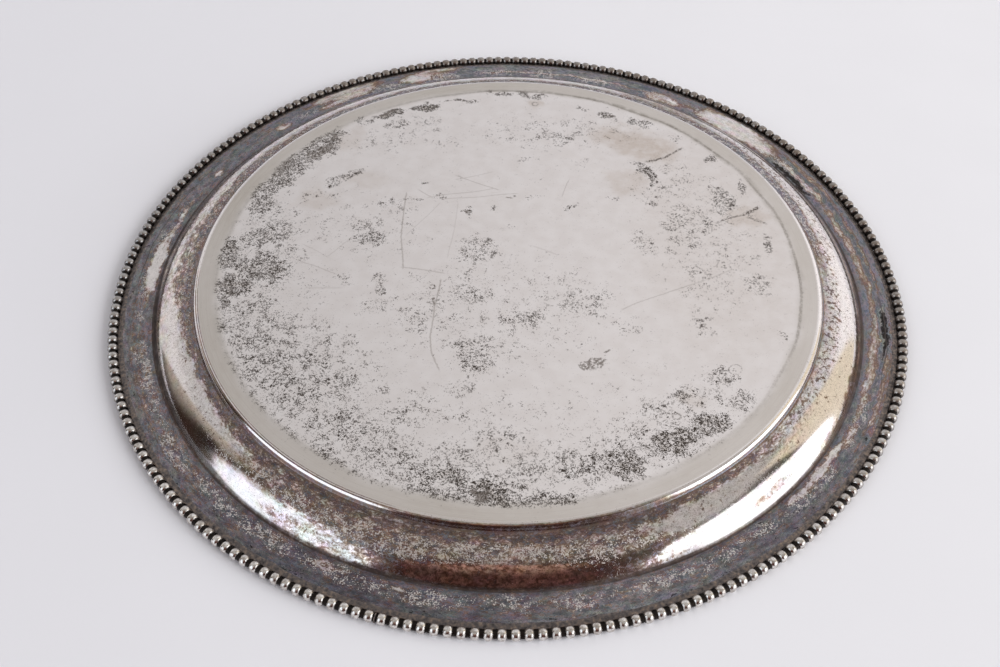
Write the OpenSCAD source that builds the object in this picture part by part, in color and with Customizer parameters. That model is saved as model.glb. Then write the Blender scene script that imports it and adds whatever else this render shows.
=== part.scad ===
// Round silver-plated salver with a beaded border, lying face down.
// Its base is uppermost and its serving side faces the table.
// The origin is the centre of the circle that the border rests on, with +Z up.

/* [Salver] */
// Diameter over the beads
overall_d = 300; // [296:1:320]
// Height of the base's flat face above the table that the border rests on
base_z = 13.4; // [12:0.1:15]
// Thickness of the sheet that the body is spun from
sheet_t = 1.2; // [0.8:0.1:1.4]
// Diameter of the flat face of the base
base_flat_d = 230; // [210:1:232]

/* [Step round the base] */
// Radius of the rounded edge of the base, measured on its outside
step_edge_r = 2.4; // [1.8:0.1:2.6]
// Radius of the hollow at the foot of the step, measured on its outside
step_hollow_r = 0.8; // [0.5:0.1:1.2]
// Steepest slope of the step, in degrees
step_slope = 62; // [50:1:68]
// Length of the straight wall between the edge and the hollow
step_wall = 0.45; // [0.2:0.05:0.8]

/* [Bouge] */
// Slope of the bouge where it leaves the step, in degrees
bouge_start_slope = 6; // [3:1:10]
// Slope of the bouge where it meets the rim, in degrees
bouge_end_slope = 52; // [50:1:56]
// Radius of the hollow between the bouge and the rim, measured on its outside
crease_r = 1.5; // [1:0.1:2]

/* [Border] */
// Diameter of a bead
bead_d = 4; // [3.6:0.1:4]
// Number of beads on the wire
bead_count = 227; // [200:1:227]
// Diameter of the wire in the necks between the beads
neck_d = 2.9; // [2.6:0.1:3]
// Gap between the edge of the rim and the beads, which the solder fills
solder_gap = 1; // [0.8:0.1:1.4]
// Height of the solder in that gap
solder_h = 0.7; // [0.5:0.1:0.8]
// Place of the joint in the wire, in degrees anticlockwise from +X
joint_azimuth = -105.7; // [-180:0.1:180]
// Length of the solder in the joint, along the wire
joint_len = 0.3; // [0.2:0.05:0.5]

/* [Hidden] */
$fn = 96;

// Largest turn between two points of a bend, in degrees
bend_step = 3;
rim_edge_step = 15;

// Border: the beads rest on the table, so their centres are one bead radius up
bead_r = bead_d / 2;
border_r = overall_d / 2 - bead_r;
bead_pitch = 360 / bead_count;
// Each end of a neck reaches this far into its bead
neck_reach = 0.5 * bead_r;
neck_len = 2 * border_r * sin(bead_pitch / 2) - 2 * (bead_r - neck_reach);
joint_collar_d = neck_d + 0.3;

// Rim: its middle line lies a little below the beads' centres
rim_mid_z = bead_r - 0.2;
rim_edge_r = border_r - bead_r - solder_gap;
rim_round_r = sheet_t / 2;

// The solder reaches a little way round the beads
solder_reach = 0.35;

// Radii of the bends along the middle line of the sheet.
// A bend with a negative radius gets flatter outwards.
edge_bend_r = step_edge_r - sheet_t / 2;
hollow_bend_r = -step_hollow_r - sheet_t / 2;
crease_bend_r = -crease_r - sheet_t / 2;

// Direction straight out of the sheet's outside, where it falls outwards at a slope
function out_of_sheet(slope) = [sin(slope), cos(slope)];

// Direction along the sheet, outwards and down
function along_sheet(slope) = [cos(slope), -sin(slope)];

// Stations along a bend. Each holds a point of the middle line and the slope there.
function bend(start, r, from, to) = let(steps = ceil(abs(to - from) / bend_step)) [
    for (i = [0 : steps])
        let(slope = from + (to - from) * i / steps)
            [start + r * (out_of_sheet(slope) - out_of_sheet(from)), slope]
];

// Point of the middle line at the last station of a bend
function end_of(stations) = stations[len(stations) - 1][0];

// Bends in order, from the base outwards
edge_bend = bend([base_flat_d / 2, base_z - sheet_t / 2], edge_bend_r, 0, step_slope);
wall_end = end_of(edge_bend) + step_wall * along_sheet(step_slope);
hollow_bend = bend(wall_end, hollow_bend_r, step_slope, bouge_start_slope);

// The bouge takes up the drop that is left between the step and the crease
crease_drop = crease_bend_r * (cos(bouge_end_slope) - 1);
bouge_drop = end_of(hollow_bend).y - rim_mid_z - crease_drop;
bouge_bend_r = bouge_drop / (cos(bouge_start_slope) - cos(bouge_end_slope));
bouge_bend = bend(end_of(hollow_bend), bouge_bend_r, bouge_start_slope, bouge_end_slope);
crease_bend = bend(end_of(bouge_bend), crease_bend_r, bouge_end_slope, 0);

// All the stations, from the centre of the base to the rounded edge of the rim
sheet_stations = concat(
    [[[0, base_z - sheet_t / 2], 0]],
    edge_bend,
    hollow_bend,
    bouge_bend,
    crease_bend
);

// One face of the sheet: side is 1 for its outside and -1 for its serving side
function sheet_face(side) = [
    for (s = sheet_stations) s[0] + side * sheet_t / 2 * out_of_sheet(s[1])
];

function reversed(points) = [for (i = [len(points) - 1 : -1 : 0]) points[i]];

// Base, step, bouge and rim, spun from one sheet
module salver_body() {
    rim_round_centre = [rim_edge_r - rim_round_r, rim_mid_z];
    rim_round = [
        for (a = [0 : rim_edge_step : 180]) rim_round_centre + rim_round_r * out_of_sheet(a)
    ];
    color([0.74, 0.71, 0.67])
        rotate_extrude()
            polygon(concat(sheet_face(1), rim_round, reversed(sheet_face(-1))));
}

// Puts its children on the wire's centre line, with +Y along the wire
module on_wire(azimuth, r) {
    rotate(azimuth)
        translate([r, 0, bead_r])
            children();
}

// Round bar that lies along the wire
module wire_bar(d, length) {
    rotate([90, 0, 0])
        cylinder(d = d, h = length, center = true);
}

// Beaded wire bent round the rim. Its two ends are cut off square at the joint.
module bead_border() {
    neck_r = border_r * cos(bead_pitch / 2);
    color([0.80, 0.79, 0.77])
        difference() {
            union() {
                for (i = [0 : bead_count - 1]) {
                    on_wire(joint_azimuth + (i + 0.5) * bead_pitch, border_r)
                        sphere(r = bead_r);
                    on_wire(joint_azimuth + i * bead_pitch, neck_r)
                        wire_bar(neck_d, neck_len);
                }
            }
            on_wire(joint_azimuth, neck_r)
                cube([2 * bead_d, joint_len, 2 * bead_d], center = true);
        }
}

// Solder that joins the beaded wire to the edge of the rim
module border_solder() {
    inner_r = rim_edge_r - rim_round_r;
    outer_r = border_r - bead_r + solder_reach;
    color([0.42, 0.38, 0.34])
        rotate_extrude()
            difference() {
                translate([inner_r, rim_mid_z - solder_h / 2])
                    square([outer_r - inner_r, solder_h]);
                translate([inner_r, rim_mid_z])
                    circle(r = rim_round_r);
                translate([border_r, bead_r])
                    circle(r = bead_r);
            }
}

// Solder that closes the joint between the two ends of the beaded wire
module wire_joint_solder() {
    color([0.55, 0.52, 0.48])
        on_wire(joint_azimuth, border_r * cos(bead_pitch / 2))
            wire_bar(joint_collar_d, joint_len);
}

salver_body();
bead_border();
border_solder();
wire_joint_solder();
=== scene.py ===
"""Looks of a round silver-plated salver with a beaded border, lying face down on a pale table."""

import math
from types import SimpleNamespace

import bpy
import numpy as np
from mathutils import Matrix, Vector


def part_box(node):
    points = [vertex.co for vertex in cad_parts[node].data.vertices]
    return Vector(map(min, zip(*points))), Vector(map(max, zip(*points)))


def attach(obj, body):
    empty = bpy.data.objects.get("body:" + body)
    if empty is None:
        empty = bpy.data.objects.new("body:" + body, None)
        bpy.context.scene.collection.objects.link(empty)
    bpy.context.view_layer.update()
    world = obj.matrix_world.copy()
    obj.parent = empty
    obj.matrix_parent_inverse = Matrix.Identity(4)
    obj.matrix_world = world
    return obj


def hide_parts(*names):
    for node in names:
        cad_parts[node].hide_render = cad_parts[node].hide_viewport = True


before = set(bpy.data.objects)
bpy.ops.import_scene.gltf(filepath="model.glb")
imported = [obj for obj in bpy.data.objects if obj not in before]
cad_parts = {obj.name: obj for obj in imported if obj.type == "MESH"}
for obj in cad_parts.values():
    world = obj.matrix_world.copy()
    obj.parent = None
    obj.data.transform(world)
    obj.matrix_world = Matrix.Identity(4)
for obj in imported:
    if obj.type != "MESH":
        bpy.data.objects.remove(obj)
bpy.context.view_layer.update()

MM = 0.001
TAU = 2 * math.pi

# Sizes are in millimetres. Azimuths are in degrees anticlockwise from +X, seen from above, and
# the photograph was taken from azimuth -90. Films of tarnish go from 0, bare silver, to 1.

# ---------------------------------------------------------------- sizes


def node_box(name):
    """Lowest and highest corner of a CAD node, in millimetres."""
    low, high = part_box(name)
    return [v / MM for v in low], [v / MM for v in high]


BODY_LOW, BODY_HIGH = node_box("salver_body")
BORDER_LOW, BORDER_HIGH = node_box("bead_border")

# Beaded wire
BEAD_R = (BORDER_HIGH[2] - BORDER_LOW[2]) / 2
BORDER_R = BORDER_HIGH[0] - BEAD_R
BEAD_COUNT = 227
BEAD_HALF_LENGTH = 1.48
FAR_BEAD_HALF_LENGTH = 1.80
GROOVE_R = 1.3
WIRE_SIDES = 20
JOINT_AZIMUTH = -105.7
JOINT_LEN = 0.3

# Section of the sheet. The bends have the radii of its middle line, as in the CAD.
BASE_Z = BODY_HIGH[2]
RIM_EDGE_R = BODY_HIGH[0]
SHEET_T = 1.2
RIM_MID_Z = BODY_LOW[2] + SHEET_T / 2
BASE_FLAT_R = 115
EDGE_BEND_R = 1.8
STEP_SLOPE = 62
STEP_WALL = 0.45
HOLLOW_BEND_R = -1.4
BOUGE_SLOPES = (6, 52)
CREASE_BEND_R = -2.1

# Radii over which one part of the outside gives way to the next
BASE_TO_STEP = (115.05, 115.5)
STEP_TO_BOUGE = (117.6, 118.3)
BOUGE_TO_RIM = (132.6, 134.2)

# Where the flat face of the base ends and its outer band begins
BAND_R = 109.0

# ---------------------------------------------------------------- smooth irregularity


def waves(x, y, size, seed, count=9):
    """Smooth noise of about -1 to 1: the sum of some plane waves whose hills are about size across."""
    rng = np.random.default_rng(seed)
    total = np.zeros_like(x, dtype=float)
    for _ in range(count):
        heading = rng.uniform(0, TAU)
        length = size * rng.uniform(1.2, 3.2)
        phase = rng.uniform(0, TAU)
        total += np.sin((x * math.cos(heading) + y * math.sin(heading)) * TAU / length + phase)
    return total / math.sqrt(count) / 1.4


def rough_waves(x, y, size, seed):
    """Waves with two finer layers on top."""
    coarse = waves(x, y, size, seed)
    middle = waves(x, y, size / 2.3, seed + 1)
    fine = waves(x, y, size / 5, seed + 2)
    return 0.6 * coarse + 0.3 * middle + 0.2 * fine


def smoothstep(value, low, high):
    """0 up to low, 1 from high on, and a smooth rise between them."""
    t = np.clip((value - low) / (high - low), 0, 1)
    return t * t * (3 - 2 * t)


def bump(value, centre, half):
    """1 at the centre, falling smoothly to 0 at half either side."""
    return 1 - smoothstep(np.abs(value - centre), 0, half)


def turn_gap(azimuth, centre):
    """Degrees from a centre to an azimuth, the short way round."""
    return (azimuth - centre + 180) % 360 - 180


def facing(azimuth, centre, half_turn):
    """1 at one azimuth, falling smoothly to 0 at half_turn either side."""
    return bump(turn_gap(azimuth, centre), 0, half_turn)


def azimuth_at(x, y):
    return np.degrees(np.arctan2(y, x))


def blend(amount, start, end):
    return start + (end - start) * amount


def blob(x, y, spot):
    """A soft ellipse. spot starts with x, y, half length, half width, turn in degrees."""
    cx, cy, along, across, turn = spot[:5]
    c, s = math.cos(math.radians(turn)), math.sin(math.radians(turn))
    u = ((x - cx) * c + (y - cy) * s) / along
    v = (-(x - cx) * s + (y - cy) * c) / across
    return 1 - smoothstep(np.hypot(u, v), 0.55, 1.3)


def strongest_blob(x, y, spots):
    """The strength of the strongest of some spots. A spot's sixth number is its strength."""
    strength = np.zeros_like(x)
    for spot in spots:
        strength = np.maximum(strength, spot[5] * blob(x, y, spot))
    return strength


# ---------------------------------------------------------------- mesh helpers


def make_object(name, vertices, faces, smooth=True):
    """A mesh object from points in millimetres."""
    mesh = bpy.data.meshes.new(name)
    mesh.from_pydata((np.asarray(vertices) * MM).tolist(), [], faces)
    mesh.validate()
    mesh.polygons.foreach_set("use_smooth", [smooth] * len(mesh.polygons))
    mesh.update()
    made = bpy.data.objects.new(name, mesh)
    bpy.context.scene.collection.objects.link(made)
    return made


def add_attribute(made, name, channels):
    """Stores four numbers for each vertex, as one colour attribute."""
    values = np.zeros((len(made.data.vertices), 4))
    for i, channel in enumerate(channels):
        values[:, i] = channel
    layer = made.data.attributes.new(name, "FLOAT_COLOR", "POINT")
    layer.data.foreach_set("color", values.ravel())


def ring_faces(first, n_first, second, n_second):
    """Faces between two rings of points.

    The counts are equal, or one is twice the other, or one ring is a single point.
    """
    faces = []
    if n_first == 1:
        for j in range(n_second):
            faces.append((first, second + j, second + (j + 1) % n_second))
    elif n_second == 1:
        for j in range(n_first):
            faces.append((first + j, second, first + (j + 1) % n_first))
    elif n_first == n_second:
        for j in range(n_first):
            k = (j + 1) % n_first
            faces.append((first + j, second + j, second + k, first + k))
    elif n_second == 2 * n_first:
        for j in range(n_first):
            k = (j + 1) % n_first
            a, b, c = second + 2 * j, second + 2 * j + 1, second + (2 * j + 2) % n_second
            faces += [(first + j, a, b), (first + j, b, first + k), (first + k, b, c)]
    else:
        for j in range(n_second):
            k = (j + 1) % n_second
            a, b, c = first + 2 * j, first + 2 * j + 1, first + (2 * j + 2) % n_first
            faces += [(a, second + j, b), (b, second + j, second + k), (b, second + k, c)]
    return faces


def tube_faces(rings, sides):
    """Faces of a tube through equal rings of points, with a cap at each end."""
    faces = []
    for i in range(rings - 1):
        last = i * sides
        here = last + sides
        for k in range(sides):
            m = (k + 1) % sides
            faces.append((last + k, last + m, here + m, here + k))
    end = (rings - 1) * sides
    faces.append(tuple(range(sides)))
    faces.append(tuple(end + k for k in reversed(range(sides))))
    return faces


def round_point(r, angle, z):
    """A point at a radius and an angle in radians round the salver's axis."""
    return (r * math.cos(angle), r * math.sin(angle), z)


# ---------------------------------------------------------------- section of the sheet


def out_of_sheet(slope):
    """Direction straight out of the sheet's outside, where it falls outwards at a slope."""
    a = math.radians(slope)
    return np.array([math.sin(a), math.cos(a)])


def bend(start, r, slope_from, slope_to, step):
    """Middle line points and slopes along a bend. A negative radius gets flatter outwards."""
    steps = max(1, math.ceil(abs(slope_to - slope_from) / step))
    stations = []
    for i in range(steps + 1):
        slope = slope_from + (slope_to - slope_from) * i / steps
        stations.append((start + r * (out_of_sheet(slope) - out_of_sheet(slope_from)), slope))
    return stations


def sheet_stations(fine):
    """The middle line from the centre of the base to the rim's edge. fine is 1 for the finest."""
    centre_z = BASE_Z - SHEET_T / 2
    base = [(np.array([r, centre_z]), 0.0) for r in np.arange(0, BASE_FLAT_R, 1.0 * fine)]
    edge = bend(np.array([BASE_FLAT_R, centre_z]), EDGE_BEND_R, 0, STEP_SLOPE, 4 * fine)
    a = math.radians(STEP_SLOPE)
    wall_end = edge[-1][0] + STEP_WALL * np.array([math.cos(a), -math.sin(a)])
    hollow = bend(wall_end, HOLLOW_BEND_R, STEP_SLOPE, BOUGE_SLOPES[0], 5 * fine)
    low, high = [math.cos(math.radians(s)) for s in BOUGE_SLOPES]
    crease_drop = CREASE_BEND_R * (high - 1)
    bouge_r = (hollow[-1][0][1] - RIM_MID_Z - crease_drop) / (low - high)
    bouge = bend(hollow[-1][0], bouge_r, BOUGE_SLOPES[0], BOUGE_SLOPES[1], 1.25 * fine)
    crease = bend(bouge[-1][0], CREASE_BEND_R, BOUGE_SLOPES[1], 0, 4 * fine)
    rim_spacing = 0.5 * fine
    rim_start = crease[-1][0][0] + rim_spacing
    rim_end = RIM_EDGE_R - SHEET_T / 2
    rim_radii = np.linspace(rim_start, rim_end, max(3, int((rim_end - rim_start) / rim_spacing)))
    rim = [(np.array([r, RIM_MID_Z]), 0.0) for r in rim_radii]
    return base + edge + hollow[1:] + bouge[1:] + crease[1:] + rim


def sheet_rings():
    """Points all round the section. Side is 1 on the outside and -1 on the serving side."""
    half_t = SHEET_T / 2
    edge_centre = np.array([RIM_EDGE_R - half_t, RIM_MID_Z])
    outside = [(point + half_t * out_of_sheet(slope), 1) for point, slope in sheet_stations(1.0)]
    edge = [(edge_centre + half_t * out_of_sheet(a), 1) for a in range(15, 180, 15)]
    serving = [(point - half_t * out_of_sheet(slope), -1) for point, slope in sheet_stations(2.0)]
    return outside + edge + serving[::-1]


def segments_at(r):
    """How many points go round a ring of this radius."""
    for limit, count in ((0.001, 1), (2, 30), (5, 60), (12, 120), (28, 240), (62, 480)):
        if r < limit:
            return count
    return 960


def spin_sheet():
    """Points and faces of the whole sheet, and the side that each point is on."""
    points, faces, sides = [], [], []
    previous = None
    for (r, z), side in sheet_rings():
        count = segments_at(r)
        start = len(points)
        points += [round_point(r, TAU * j / count, z) for j in range(count)]
        sides += [side] * count
        if previous is not None:
            faces += ring_faces(*previous, start, count)
        previous = (start, count)
    return np.array(points), faces, np.array(sides)


# ---------------------------------------------------------------- tarnish on the base

# Patches of dark specks on the base: x, y, half length, half width, turn, density
SPECK_PATCHES = [
    (-72, -52, 42, 26, -48, 0.52),
    (-20, -95, 46, 13, 0, 0.52),
    (55, -78, 30, 15, 32, 0.52),
    (-92, 5, 16, 40, 0, 0.50),
    (76, 12, 20, 46, 0, 0.36),
    (-5, -25, 50, 34, 10, 0.34),
    (20, 80, 40, 14, 0, 0.36),
    (-45, 78, 26, 12, 30, 0.36),
    (-55, 20, 30, 22, 0, 0.30),
    (62, 48, 16, 22, 0, 0.34),
    (-79, 68, 17, 8, 52, 0.86),
    (-91, 51, 16, 7, 62, 0.82),
    (-98, 36, 12, 6, 82, 0.80),
    (-66, 50, 12, 4, 25, 0.70),
    (-76, 38, 12, 3, 20, 0.45),
    (-93, 15, 15, 7, 28, 0.75),
    (-106, 4, 4, 10, 0, 0.90),
    (-93, -3, 13, 9, 0, 0.85),
    (-101, -12, 8, 5, 0, 1.00),
    (-104, -20, 4, 6, 30, 0.95),
    (-92, -32, 14, 12, 0, 0.60),
    (-87, -48, 16, 12, -50, 0.68),
    (-74, -62, 18, 11, -42, 0.66),
    (-58, -78, 20, 10, -32, 0.60),
    (-60, -45, 10, 10, 0, 0.35),
    (-35, -92, 18, 8, -15, 0.62),
    (-20, -98, 9, 5, 0, 0.85),
    (-5, -105, 11, 6, 0, 0.95),
    (14, -108, 18, 4, 5, 0.80),
    (22, -92, 10, 6, 10, 0.50),
    (38, -92, 8, 8, 30, 0.92),
    (55, -83, 9, 8, 30, 1.00),
    (68, -76, 10, 6, 25, 0.90),
    (80, -66, 8, 5, 50, 0.60),
    (60, -63, 8, 4, 10, 0.60),
    (74, -55, 8, 5, 0, 0.60),
    (70, -31, 6, 6, 0, 0.50),
    (-12, 8, 9, 8, 0, 0.62),
    (-16, -4, 6, 4, 0, 0.45),
    (-14, -16, 11, 8, 0, 0.52),
    (5, -28, 10, 6, 0, 0.62),
    (-12, -46, 9, 12, 10, 0.62),
    (-16, -62, 6, 6, 0, 0.45),
    (28, -20, 13, 8, 20, 0.52),
    (42, -32, 9, 6, 0, 0.40),
    (20, -10, 8, 6, 0, 0.35),
    (-53, 14, 10, 6, 0, 0.75),
    (-55, 22, 8, 4, 0, 0.55),
    (-45, 33, 6, 4, 0, 0.55),
    (-61, -8, 6, 4, -30, 0.55),
    (-47, -12, 4, 6, 0, 0.55),
    (-50, -23, 7, 4, 0, 0.50),
    (-34, -30, 8, 9, 0, 0.50),
    (-35, -6, 4, 4, 0, 0.50),
    (52, 12, 6, 9, 0, 0.50),
    (70, 20, 12, 15, 0, 0.50),
    (76, -4, 10, 7, 0, 0.42),
    (68, 45, 9, 11, 0, 0.42),
    (85, 38, 5, 12, 10, 0.62),
    (95, 45, 2, 6, 10, 0.75),
    (100, 12, 2, 7, 0, 0.75),
    (93, -10, 6, 7, 0, 0.58),
    (90, 3, 8, 5, 0, 0.45),
    (98, -34, 2, 5, 0, 0.55),
    (57, 54, 3, 9, 10, 0.75),
    (58, 40, 4, 8, 0, 0.45),
    (42, 92, 4, 4, 0, 0.95),
    (56, 86, 7, 3, -25, 0.72),
    (32, 97, 5, 2, 0, 0.66),
    (84, 64, 3, 3, 0, 0.75),
    (70, 76, 3, 3, 0, 0.60),
    (11, 106, 8, 3, -10, 0.80),
    (-4, 107, 6, 2, -10, 0.80),
    (-20, 102, 8, 1.6, 6, 0.85),
    (-36, 97, 9, 2.4, 12, 0.95),
    (-51, 92, 8, 2.6, 18, 1.00),
    (-62, 86, 5, 4, 30, 0.62),
    (-48, 84, 8, 4, 40, 0.62),
    (-46, 74, 8, 6, 40, 0.38),
    (-26, 72, 8, 6, 0, 0.38),
    (20, 77, 13, 4, 10, 0.58),
    (8, 83, 6, 3, 0, 0.45),
    (8, 62, 6, 4, 0, 0.45),
    (30, 60, 4, 3, 0, 0.40),
    (-38, 38, 5, 2, 0, 0.55),
    (-27, 38, 3, 2, 0, 0.60),
    (10, 38, 4, 2, 0, 0.50),
    (25, 33, 4, 2, 30, 0.60),
    (42, 38, 3, 2, 0, 0.50),
    (-16, 30, 2, 2, 0, 0.75),
    (-6, 31, 1.5, 2, 0, 0.70),
    (1, 20, 2, 1.5, 0, 0.60),
    (-33, 46, 2, 1.5, 0, 0.70),
]

# Small spots that are nearly solid: x, y, half length, half width, turn, strength
SOLID_SPOTS = [
    (30, -50, 4.5, 3, 35, 1.0),
    (35, -44, 3, 1, 60, 0.8),
    (-78, 66, 10, 5, 50, 0.55),
    (-92, 55, 9, 4, 55, 0.5),
    (-52, 93, 4, 2, 10, 0.7),
    (43, 92, 3, 2, 30, 0.6),
    (-9, -106, 4, 2.5, 0, 0.6),
    (-27, -19.5, 2, 1.6, 0, 0.8),
    (-16, 30, 1.2, 1, 0, 0.9),
    (0, 38, 1, 0.8, 0, 0.9),
    (-72, 76, 5, 2.5, 40, 0.6),
]

# Soft warm stains: x, y, half length, half width, turn, strength
STAINS = [
    (54, 73, 20, 9, -25, 0.75),
    (48, 48, 10, 8, -20, 0.45),
    (94, 27, 9, 8, 20, 0.60),
    (82, 15, 34, 66, 0, 0.20),
    (100, 60, 8, 14, 20, 0.35),
    (-66, 74, 6, 9, 0, 0.30),
    (-58, 48, 9, 6, 0, 0.28),
    (-76, 36, 9, 6, 0, 0.35),
    (0, -88, 12, 6, 0, 0.14),
    (62, -66, 5, 4, 0, 0.35),
    (12, 100, 3, 3, 0, 0.50),
]

# Tarnish of the rim, in layers: azimuth, radius, half turn, half width, film. Later ones lie on top.
RIM_PATCHES = [
    (-75, 139, 30, 8, 0.60),
    (-112, 139, 26, 8, 0.57),
    (-155, 139, 24, 8, 0.58),
    (-155, 141, 24, 2, 0.48),
    (-150, 138, 30, 2.4, 0.56),
    (-100, 144, 72, 3.4, 0.67),
    (-170, 144, 34, 2.6, 0.67),
    (-210, 139, 24, 8, 0.62),
    (-8, 138.4, 13, 1.5, 0.31),
    (-6, 140.2, 16, 1.2, 0.70),
    (-10, 141.6, 7, 1.7, 1.02),
    (-22, 137.0, 12, 1.5, 0.27),
    (-22, 140.0, 12, 1.6, 0.70),
    (-22, 142.2, 12, 0.8, 0.32),
    (-12, 144.0, 26, 1.0, 0.44),
    (-29, 135.0, 7.5, 1.9, 0.67),
    (-39, 136.2, 8, 1.5, 0.11),
    (-32, 138.6, 3, 1.6, 0.24),
    (-38, 141.3, 4, 1.7, 0.72),
    (-31, 143.0, 0.7, 0.9, 1.0),
    (-42, 139.8, 12, 2.4, 0.68),
    (-46.5, 135.8, 1.3, 1.3, 0.12),
    (-16.5, 139.0, 1.0, 1.4, 0.40),
    (-23.5, 139.0, 0.8, 1.2, 0.40),
    (-114.5, 137.0, 1.7, 2.0, 0.02),
    (-114.5, 137.0, 0.95, 1.1, 0.44),
    (-104.3, 137.2, 0.9, 0.8, 0.10),
    (-184, 137.0, 9, 2.9, 0.0),
    (-194, 136.8, 8, 1.0, 0.20),
    (-208, 137.6, 1.4, 1.2, 0.10),
    (-224.5, 138.0, 1.6, 2.2, 0.12),
    (-238, 141, 9, 6, 0.20),
    (-230, 139.5, 6, 2.3, 0.64),
    (-241, 135.5, 6, 1.8, 0.62),
    (-247, 138.0, 4, 3.2, 0.62),
    (-253, 139.5, 4.2, 4.2, 0.15),
    (-258, 142.5, 6, 2.4, 0.20),
    (-278, 136.0, 22, 2.2, 0.62),
    (-278, 141.5, 22, 3.4, 0.80),
    (-281, 139.0, 18, 0.7, 0.22),
    (-301, 138.0, 5, 3.2, 0.25),
    (-302.5, 138.3, 1.3, 0.9, 0.04),
    (-316, 139.5, 10, 6.5, 0.13),
    (-332, 135.2, 7, 1.7, 1.05),
    (-333, 138.0, 8, 1.6, 0.24),
    (-334, 140.3, 8, 1.2, 0.70),
    (-333, 142.3, 8, 1.2, 0.34),
    (-350, 137.4, 11, 1.6, 0.30),
    (-350, 139.8, 12, 1.2, 0.70),
    (-351, 141.5, 12, 0.7, 0.34),
    (-352, 143.4, 14, 1.2, 0.62),
]


# Scratches on the base: start x, y, end x, y, width, strength. Those of a set keep clear of each other.
SCRATCHES_A = [
    (-41, 40, -41.3, 15, 0.42, 0.75),
    (-41.3, 15, -40, -2, 0.42, 0.75),
    (-32, 38, -6, 43.5, 0.35, 0.5),
    (-20, 49, -7, 53, 0.35, 0.4),
    (-25, -9, -27, -22, 0.4, 0.8),
    (-27, -22, -27.6, -38, 0.4, 0.8),
    (-27.6, -38, -26.5, -45, 0.4, 0.8),
    (-26.5, -45, -24, -52, 0.4, 0.7),
    (22, 39, 24.5, 48, 0.35, 0.5),
    (42, -23, 68, -10, 0.4, 0.5),
    (68, -10, 84, -2, 0.4, 0.4),
    (-78, 0, -65, -5, 0.35, 0.5),
    (10, 9, 18, 5, 0.5, 0.3),
]
SCRATCHES_B = [
    (-40, -2, -24, -5, 0.4, 0.6),
    (-26, 37, 3, 40.5, 0.35, 0.5),
    (-20, 51, -4, 43, 0.35, 0.6),
    (-36, 42, -31, 38, 0.35, 0.5),
    (-74, -13, -62, -13, 0.8, 0.25),
    (-39, 16, -28, 34, 0.3, 0.35),
    (-68, 4, -60, 14, 0.3, 0.4),
    (-78, 10, -69, 3, 0.3, 0.35),
    (-22, 4, -20, 34, 0.3, 0.3),
]

# Dark gouges on the base, in the same form
GOUGES = [
    (57.5, 61, 65, 63.5, 0.9, 1.0),
    (65, 63.5, 72, 69.5, 0.8, 0.9),
    (55, 55, 58, 51, 0.8, 1.0),
    (82, 24, 93, 29, 0.7, 0.85),
    (93, 29, 99, 34, 1.1, 1.0),
    (95, 27, 100, 24, 0.9, 0.9),
]

# Ring-shaped marks on the base: centre x, y, radius, width, strength
RING_MARKS = [
    (-28, -12, 1.0, 0.45, 1.0),
    (5, -95, 2.0, 0.4, 0.4),
    (79, -52, 2.3, 0.4, 0.45),
    (57, -73, 1.3, 0.45, 0.6),
    (12, 100, 1.4, 0.5, 0.5),
]

# Zones of the bouge: azimuth, half turn, radius, half width, film, flecks, islands
BOUGE_ZONES = [
    (-90, 70, 126, 9, 0.36, 0.95, 0.30),
    (-112, 22, 126, 6, 0.40, 0.85, 0.30),
    (-90, 82, 118.2, 4.4, 0.42, 0.06, 0.25),
    (-124, 30, 118.9, 3.2, 0.38, 0.12, 0.55),
    (-91, 17, 131.2, 4.4, 0.20, 0.03, 0.60),
    (-109, 6, 131.5, 3.0, 0.42, 0.05, 0.35),
    (-68, 9, 130.5, 3.4, 0.42, 0.12, 0.90),
    (-56, 16, 124, 4.4, 0.08, 0.80, 0.50),
    (-62, 16, 118.6, 2.2, 0.44, 0.25, 0.50),
    (-125, 15, 131, 4, 0.11, 0.20, 0.35),
    (-119, 10, 131.6, 2.6, 0.20, 0.10, 0.55),
    (-124, 4, 131.0, 1.6, 0.24, 0.10, 0.85),
    (-52, 20, 131, 4, 0.06, 0.05, 0.35),
    (-48, 5, 130.5, 1.2, 0.26, 0.05, 0.75),
    (-15, 34, 127, 8, 0.06, 0.10, 0.45),
    (-12, 34, 121, 3.6, 0.12, 0.35, 0.85),
    (-15, 40, 117.8, 2.2, 0.18, 0.30, 0.70),
    (-14, 26, 133, 2.4, 0.36, 0.10, 0.60),
    (-160, 26, 118.5, 3.2, 0.46, 0.25, 0.50),
    (-160, 30, 124.5, 4.5, 0.07, 0.70, 0.50),
    (-152, 20, 131, 3.6, 0.13, 0.05, 0.15),
    (-190, 34, 119.8, 4.6, 0.47, 0.60, 0.30),
    (-205, 28, 129.5, 3.4, 0.42, 0.40, 0.30),
    (-200, 24, 124.6, 2.6, 0.15, 0.70, 0.40),
    (-180, 12, 129, 4, 0.17, 0.55, 0.40),
    (-182, 12, 123.6, 2.4, 0.38, 0.45, 0.40),
    (-190, 26, 132, 2.4, 0.50, 0.30, 0.40),
    (-270, 66, 119, 3.6, 0.54, 0.80, 0.45),
    (-270, 66, 124, 4.0, 0.15, 0.55, 0.40),
    (-303, 12, 124, 3.5, 0.30, 0.50, 0.40),
    (-255, 80, 131, 3.6, 0.45, 0.20, 0.40),
    (-335, 26, 119.5, 3.4, 0.56, 0.95, 0.20),
    (-335, 26, 125.0, 3.6, 0.09, 0.50, 0.70),
    (-23, 5, 132.4, 1.8, 0.44, 0.10, 0.40),
]


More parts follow.
